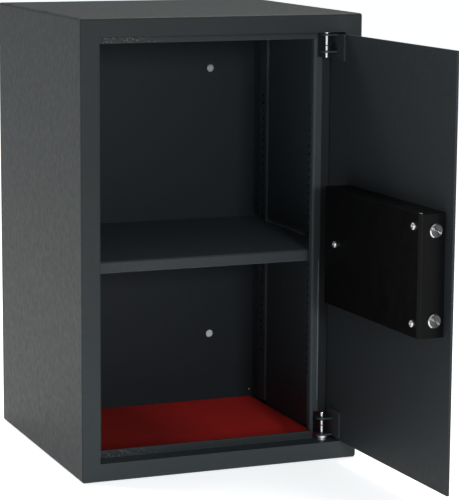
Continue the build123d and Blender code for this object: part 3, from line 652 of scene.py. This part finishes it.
def floor_mat():
    """Felt mat: a dense sheet with a soft lie and a ragged cut edge."""
    low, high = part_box("floor_mat")
    nx, ny = round((high.x - low.x) / MAT_STEP), round((high.y - low.y) / MAT_STEP)
    bm = bmesh.new()
    upper = mat_grid(bm, low, high, nx, ny, True)
    lower = mat_grid(bm, low, high, nx, ny, False)
    for grid, turned in ((upper, False), (lower, True)):
        for i in range(nx):
            for j in range(ny):
                loop = (grid[i][j], grid[i + 1][j], grid[i + 1][j + 1], grid[i][j + 1])
                bm.faces.new(loop[::-1] if turned else loop)
    rim = ([(i, 0) for i in range(nx)] + [(nx, j) for j in range(ny)]
           + [(i, ny) for i in range(nx, 0, -1)] + [(0, j) for j in range(ny, 0, -1)])
    for (i, j), (p, q) in zip(rim, rim[1:] + rim[:1]):
        bm.faces.new((lower[i][j], lower[p][q], upper[p][q], upper[i][j]))
    mat = add_built(bm, "felt_mat", "cabinet", "felt")
    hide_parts("floor_mat")


def back_welds():
    """Stitch welds that hold the inset back panel in the wrap."""
    low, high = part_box("back_panel")
    per_side, per_end = 5, 3
    half, y = 13 * MM, high.y - 1.0 * MM
    out = Vector((0.0, 1.0, 0.0))
    bm = bmesh.new()
    for k in range(per_side):
        z = low.z + (high.z - low.z) * (k + 0.5) / per_side
        for x in (low.x, high.x):
            weld_bead(bm, Vector((x, y, z - half)), Vector((x, y, z + half)), out)
    for k in range(per_end):
        x = low.x + (high.x - low.x) * (k + 0.5) / per_end
        for z in (low.z, high.z):
            weld_bead(bm, Vector((x - half, y, z)), Vector((x + half, y, z)), out)
    add_built(bm, "back_welds", "cabinet", "powder_coat")


def jamb_welds():
    """Short tacks where the stop lip's three strips meet."""
    low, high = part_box("door_jamb")
    lip_y, reach = low.y + 23 * MM, 6 * MM
    out = Vector((0.0, -1.0, 0.0))
    bm = bmesh.new()
    for z, way in ((low.z + 2 * MM, 1), (high.z - 2 * MM, -1)):
        corner = Vector((low.x + 2.6 * MM, lip_y, z + way * 0.8 * MM))
        weld_bead(bm, corner, corner + Vector((reach, 0, way * reach)), out, 1.6 * MM)
    add_built(bm, "jamb_welds", "cabinet", "door_coat")


def turned_cap(centre, radius, profile):
    """A cap spun about Y; profile pairs a share of the radius with a height in mm towards the front."""
    bm = bmesh.new()
    tip = bm.verts.new(centre - Vector((0, profile[0][1] * MM, 0)))
    loops = []
    for share, height in profile[1:]:
        r = share * radius
        loops.append([bm.verts.new(centre + Vector((r * math.cos(a), -height * MM, r * math.sin(a))))
                      for a in angles(40)])
    skin_turned(bm, tip, loops)
    return bm


# A plug has a dished cap with a groove round it, and a dab is a low mound.
PLUG_PROFILE = ((0.0, 0.55), (0.25, 0.5), (0.4, 0.1), (0.5, 0.1), (0.58, 0.45), (0.8, 0.3), (0.8, -1.0),
                (0.98, -1.0), (0.98, -1.3))
DAB_PROFILE = ((0.0, 0.35), (0.6, 0.25), (0.97, 0.0), (0.97, -1.2))
RELIEF_RADIUS = 1.5 * MM


def hole_plugs():
    """Rubber plugs in the rear fixing holes, the lower two paler, and sealer in the relief holes."""
    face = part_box("back_panel")[0].y
    rubbers = (moulded("pale_rubber", (0.82, 0.83, 0.82), (0.55, 0.7), 0.4),
               moulded("grey_rubber", (0.42, 0.43, 0.42), (0.55, 0.7), 0.4))
    sealer = moulded("sealer", (0.24, 0.25, 0.25), (0.5, 0.65), 0.4)
    rear = MOUNTS["rear_fixing"]
    middle, dims = Vector(rear["pos_m"]), rear["dims"]
    half_x, half_z = dims["spacing_x_mm"] / 2 * MM, dims["spacing_y_mm"] / 2 * MM
    for i, side in enumerate((-1, 1)):
        for k, end in enumerate((-1, 1)):
            centre = Vector((middle.x + side * half_x, face, middle.z + end * half_z))
            plug = turned_cap(centre, dims["hole_r_mm"] * MM, PLUG_PROFILE)
            add_built(plug, f"hole_plug_{2 * i + k + 1}", "cabinet", "black_plastic", rubbers[k])
        centre = Vector((side * RELIEF_PLACE[0], face, RELIEF_PLACE[1]))
        dab = turned_cap(centre, RELIEF_RADIUS, DAB_PROFILE)
        add_built(dab, f"sealer_dab_{i + 1}", "cabinet", "black_plastic", sealer)


def baffle_seam():
    """Slim bead of filler down the lower half of the baffle, its pale paint a painted highlight along the bead."""
    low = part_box("hinge_side_baffle")[0]
    x = low.x + BAFFLE_SHADOW_EDGE - 1.2 * MM
    foot, top = low.z + 44 * MM, low.z + 220 * MM
    bm = bmesh.new()
    weld_bead(bm, Vector((x, low.y, foot)), Vector((x, low.y, top)), Vector((0.0, -1.0, 0.0)),
              width=2.2 * MM, ripple=40 * MM)
    # painted highlight: the bead's paint is four times paler than the baffle's
    paint = powder_coat("seam_highlight_coat", shade(OUTER_PAINT, 4.0), gloss=0.5)
    add_built(bm, "baffle_seam", "cabinet", "door_coat", paint)


# ------------------------------------------------------------------ door pieces

def bracket_welds():
    """Weld runs round the foot of each hinge bracket, on the door's inner face."""
    y = closed_box("door_plate")[1].y + 0.7 * MM
    for end in ("upper", "lower"):
        low, high = closed_box(f"{end}_hinge_bracket")
        bm = bmesh.new()
        out = Vector((-0.4, 1.0, 0.0)).normalized()
        weld_bead(bm, Vector((low.x, y, low.z + 4 * MM)), Vector((low.x, y, high.z - 4 * MM)), out)
        for z, tilt in ((high.z, 0.4), (low.z, -0.4)):
            out = Vector((0.0, 1.0, tilt)).normalized()
            weld_bead(bm, Vector((low.x + 3 * MM, y, z)), Vector((low.x + 15 * MM, y, z)), out)
        open_door(bm)
        add_built(bm, f"{end}_bracket_welds", "door", "door_coat")


PIN_GROOVES = {"upper": (501.25 * MM,), "lower": (45.65 * MM, 39.35 * MM)}   # each groove's lower edge


def pin_rings():
    """Dark snap rings that fill the grooves turned in the hinge pins."""
    for end, grooves in PIN_GROOVES.items():
        low, high = closed_box(f"{end}_hinge_pin")
        radius = (high.x - low.x) / 2
        bm = bmesh.new()
        for foot in grooves:
            ring = ring_mesh(bm, Vector((0.0, 0.0, 0.0)), radius - 0.6 * MM, radius + 0.25 * MM, 1.3 * MM)
            stand = Vector(((low.x + high.x) / 2, (low.y + high.y) / 2, foot))
            turn = Matrix.Translation(stand) @ Matrix.Rotation(-math.pi / 2, 4, "X")
            bmesh.ops.transform(bm, matrix=turn, verts=ring)
        open_door(bm)
        add_built(bm, f"{end}_pin_rings", "door", "component_black", smooth=False)


def bolt_loops(radius):
    """The radius and height of each loop of a bolt's turned face, which has concentric grooves."""
    pitch, deep, step = 0.9 * MM, 0.13 * MM, 0.075 * MM
    count = round(radius / step)
    loops = []
    for k in range(1, count + 1):
        r = radius * k / count
        loops.append((r, -deep * (0.5 + 0.5 * math.cos(2 * math.pi * r / pitch))))
    return -deep, loops + [(radius, 0.3 * MM)]


def bolt_faces():
    """Turned end of each bolt: a disc with the grooves that a lathe leaves."""
    steel = plated("turned_steel", (0.11, 0.11, 0.113), (0.2, 0.3))
    for end in ("upper", "lower"):
        low, high = closed_box(f"{end}_bolt")
        centre = Vector((low.x, (low.y + high.y) / 2, (low.z + high.z) / 2))
        tip_x, places = bolt_loops((high.z - low.z) / 2 - 1 * MM)
        bm = bmesh.new()
        tip = bm.verts.new(centre + Vector((tip_x, 0, 0)))
        loops = [[bm.verts.new(centre + Vector((x, r * math.cos(a), r * math.sin(a)))) for a in angles(96)]
                 for r, x in places]
        skin_turned(bm, tip, loops)
        open_door(bm)
        add_built(bm, f"{end}_bolt_face", "bolts", "polished_steel", steel)


def cover_corner():
    """Ground weld at the top of the cover's bolt-end bend, its paint rubbed through."""
    low, high = closed_box("lock_cover")
    corner = Vector((low.x + 1.4 * MM, high.y - 1.6 * MM, high.z - 0.1 * MM))
    bm = bmesh.new()
    weld_bead(bm, corner - Vector((0.2, 2.4, 0)) * MM, corner + Vector((2.6, 0.6, 0)) * MM,
              Vector((0, 0, 1)), 1.9 * MM, 0.9 * MM)
    open_door(bm)
    rubbed = plated("rubbed_steel", (0.5, 0.5, 0.5), (0.3, 0.45))
    add_built(bm, "cover_corner_weld", "door", "lock_black", rubbed)


# ------------------------------------------------------------------ keypad, display and knob

PROUD, SUNK = 0.12, 0.05      # mm that printed marks stand out of a face and reach into it


def raised_text(text, name, height, centre, body, material):
    """Raised characters on the door's outer face, centred at a closed-door place."""
    curve = bpy.data.curves.new(name, "FONT")
    curve.body = text
    curve.size = height
    curve.extrude = PROUD * MM
    curve.align_x, curve.align_y = "CENTER", "CENTER"
    carrier = bpy.data.objects.new(name + "_curve", curve)
    bpy.context.scene.collection.objects.link(carrier)
    bpy.context.view_layer.update()
    mesh = bpy.data.meshes.new_from_object(carrier.evaluated_get(bpy.context.evaluated_depsgraph_get()))
    mesh.name = name
    bpy.data.objects.remove(carrier)
    stand = Matrix.Translation(centre) @ Matrix.Rotation(math.pi / 2, 4, "X")
    mesh.transform(DOOR_TURN @ stand)
    return add(mesh, name, body, material)


def cross_mark(bm):
    """A diagonal cross about the origin."""
    for degrees in (45, -45):
        arm = bar_mesh(bm, Vector((-3.0, -PROUD, -0.5)) * MM, Vector((3.0, SUNK, 0.5)) * MM)
        turn = Matrix.Rotation(math.radians(degrees), 3, "Y")
        bmesh.ops.rotate(bm, cent=(0, 0, 0), matrix=turn, verts=arm)


def padlock_mark(bm):
    """A closed padlock about the origin: a body and half a ring."""
    bar_mesh(bm, Vector((-2.4, -PROUD, -3.0)) * MM, Vector((2.4, SUNK, 0.6)) * MM)
    ring_mesh(bm, Vector((0, SUNK, 0.5)) * MM, 1.0 * MM, 1.8 * MM, (PROUD + SUNK) * MM, 0.0, math.pi, 12)


def key_legends():
    """A digit on each key, a cross on the clear key and a padlock on the lock key."""
    ink = moulded("legend_ink", (0.012, 0.012, 0.013), (0.3, 0.4), 0.1)
    for node in [n for n in NODES if n.startswith("key_")]:
        label = node.split("_")[1]
        low, high = closed_box(node)
        centre = Vector(((low.x + high.x) / 2, low.y, (low.z + high.z) / 2))
        name = f"legend_{label}"
        if label.isdigit():
            raised_text(label, name, 8.5 * MM, centre, node, ink)
            continue
        bm = bmesh.new()
        if label == "clear":
            cross_mark(bm)
        else:
            padlock_mark(bm)
        bmesh.ops.transform(bm, matrix=DOOR_TURN @ Matrix.Translation(centre), verts=bm.verts)
        add_built(bm, name, node, "component_black", ink, smooth=False)


def segment(bm, centre, half_wide, half_high):
    """One lit bar of a digit, in mm about a place on the window's face."""
    bar_mesh(bm, centre + Vector((-half_wide, -PROUD / 2, -half_high)) * MM,
             centre + Vector((half_wide, SUNK, half_high)) * MM)


def display_digits():
    """Four seven-segment digits, all lit."""
    low, high = closed_box("display_window")
    bm = bmesh.new()
    for k in range(4):
        x = low.x + (high.x - low.x) * (0.2 + 0.15 * k)
        digit = Vector((x, low.y, (low.z + high.z) / 2))
        for dz in (-5.0, 0.0, 5.0):
            segment(bm, digit + Vector((0, 0, dz)) * MM, 2.2, 0.45)
        for dx in (-2.75, 2.75):
            for dz in (-2.5, 2.5):
                segment(bm, digit + Vector((dx, 0, dz)) * MM, 0.4, 2.0)
    open_door(bm)
    lit = glowing("display_green", (0.1, 0.9, 0.35), 0.6)
    add_built(bm, "display_digits", "door", "window", lit, smooth=False)


LAMPS = (("ready_lamp", (0.1, 0.9, 0.2), 0.83),       # name, tone and share of the window's width
         ("fault_lamp", (0.9, 0.08, 0.04), 0.92))
LAMP_RADIUS, LAMP_BULGE = 1.4 * MM, 0.3               # the bulge is a share of the radius


def lamp_dot():
    """A ball about the origin, squashed along Y."""
    around, rows = 20, 12
    bm = bmesh.new()
    tip = bm.verts.new((0.0, 0.0, LAMP_RADIUS))
    loops = []
    for row in range(1, rows):
        r = LAMP_RADIUS * math.sin(math.pi * row / rows)
        z = LAMP_RADIUS * math.cos(math.pi * row / rows)
        loops.append([bm.verts.new((r * math.cos(a), LAMP_BULGE * r * math.sin(a), z))
                      for a in angles(around)])
    skin_turned(bm, tip, loops, bm.verts.new((0.0, 0.0, -LAMP_RADIUS)))
    return bm


def display_lamps():
    """A green and a red lamp beside the digits."""
    low, high = closed_box("display_window")
    for name, tone, share in LAMPS:
        centre = Vector((low.x + (high.x - low.x) * share, low.y, (low.z + high.z) / 2))
        dot = lamp_dot()
        bmesh.ops.transform(dot, matrix=DOOR_TURN @ Matrix.Translation(centre), verts=dot.verts)
        add_built(dot, name, "door", "window", glowing(name, tone, 0.15))


RIB_COUNT = 40
RIB_ROWS = ((-0.6, 0.55), (-5.2, 0.55), (-6.2, 0.05))   # mm, y from the knob's foot and ridge height
RIB_HALF, RIB_ROOT = 0.75, -0.4                         # mm, half a rib's width and its root's height


def rib(bm, centre, radius, angle):
    """One tapered grip rib on the knob's skirt, three rows of root, ridge and root."""
    way = Vector((math.cos(angle), 0.0, math.sin(angle)))
    side = Vector((-math.sin(angle), 0.0, math.cos(angle)))
    spots = []
    for y, rise in RIB_ROWS:
        for s, r in ((-RIB_HALF, RIB_ROOT), (0.0, rise), (RIB_HALF, RIB_ROOT)):
            spots.append(bm.verts.new(centre + way * (radius + r * MM) + side * s * MM
                                      + Vector((0, y * MM, 0))))
    for i in (0, 3):
        bm.faces.new((spots[i], spots[i + 1], spots[i + 4], spots[i + 3]))
        bm.faces.new((spots[i + 1], spots[i + 2], spots[i + 5], spots[i + 4]))
        bm.faces.new((spots[i + 2], spots[i], spots[i + 3], spots[i + 5]))
    bm.faces.new((spots[0], spots[2], spots[1]))
    bm.faces.new((spots[6], spots[7], spots[8]))


def knob_ribs():
    """Grip ribs round the knob's skirt."""
    low, high = closed_box("knob")
    centre = Vector(((low.x + high.x) / 2, high.y, (low.z + high.z) / 2))
    bm = bmesh.new()
    for angle in angles(RIB_COUNT):
        rib(bm, centre, (high.z - low.z) / 2, angle)
    open_door(bm)
    add_built(bm, "knob_ribs", "knob", "black_plastic")


def knob_marks():
    """A pointer line on the knob, and a scale on the bezel for its two positions."""
    white = moulded("mark_white", (0.7, 0.7, 0.7), (0.35, 0.45), 0.1)
    low, high = closed_box("knob")
    middle_x, middle_z = (low.x + high.x) / 2, (low.z + high.z) / 2
    line = bmesh.new()
    bar_mesh(line, Vector((middle_x - 0.8 * MM, low.y - PROUD * MM, middle_z + 5 * MM)),
             Vector((middle_x + 0.8 * MM, low.y + 0.1 * MM, high.z - 4.5 * MM)), ease=0.05 * MM)
    open_door(line)
    add_built(line, "knob_pointer", "knob", "key_plastic", white, smooth=False)
    hub = Vector((middle_x, closed_box("display_window")[0].y + SUNK * MM, middle_z))
    marks = bmesh.new()
    for degrees in (90, 180):
        ring_mesh(marks, hub, 29.5 * MM, 33.1 * MM, 0.15 * MM, math.radians(degrees) - 0.03, 0.06, 4)
    ring_mesh(marks, hub, 30.6 * MM, 31.3 * MM, 0.15 * MM, math.radians(98), math.radians(74), 30)
    open_door(marks)
    add_built(marks, "knob_scale", "door", "key_plastic", white, smooth=False)


# ------------------------------------------------------------------ the whole scene

def dress_nodes():
    """Give each CAD node its slot's material, with the variants that some parts have."""
    # painted highlight as well as wear: the brackets' lug edges are lightened strongly
    bracket = powder_coat("bracket_coat", DOOR_PAINT, 0.3, edge_wear_and_highlight=6.0)
    rail = powder_coat("rail_coat", WALL_PAINT, place_tone=rail_tone)
    bush = plated("bush_steel", (0.95, 0.95, 0.96), (0.32, 0.45))
    special = {
        "back_panel": powder_coat("back_coat", BACK_PAINT),
        "shelf": powder_coat("shelf_coat", SHELF_PAINT, 0.3, place_tone=shelf_tone),
        "door_jamb": powder_coat("jamb_coat", OUTER_PAINT, place_tone=speckled_tone),
        "hinge_side_baffle": powder_coat("baffle_coat", OUTER_PAINT, place_tone=baffle_tone),
        "cover_screws": plated("screw_steel", (0.8, 0.8, 0.8), (0.3, 0.42)),
        "upper_hinge_bracket": bracket,
        "lower_hinge_bracket": bracket,
        "upper_hinge_bush": bush,
        "lower_hinge_bush": bush,
        "upright_front_left": rail,
        "upright_front_right": rail,
        "upright_rear_left": rail,
        "upright_rear_right": rail,
    }
    for node, obj in NODES.items():
        obj.data.materials.clear()
        obj.data.materials.append(special.get(node) or MATERIALS[SLOT_OF[node]])


camera()
MATERIALS.update(slot_materials())
studio()
dress_nodes()
floor_mat()
bracket_welds()
back_welds()
jamb_welds()
key_legends()
display_digits()
display_lamps()
knob_ribs()
knob_marks()
bolt_faces()
hole_plugs()
baffle_seam()
pin_rings()
cover_corner()
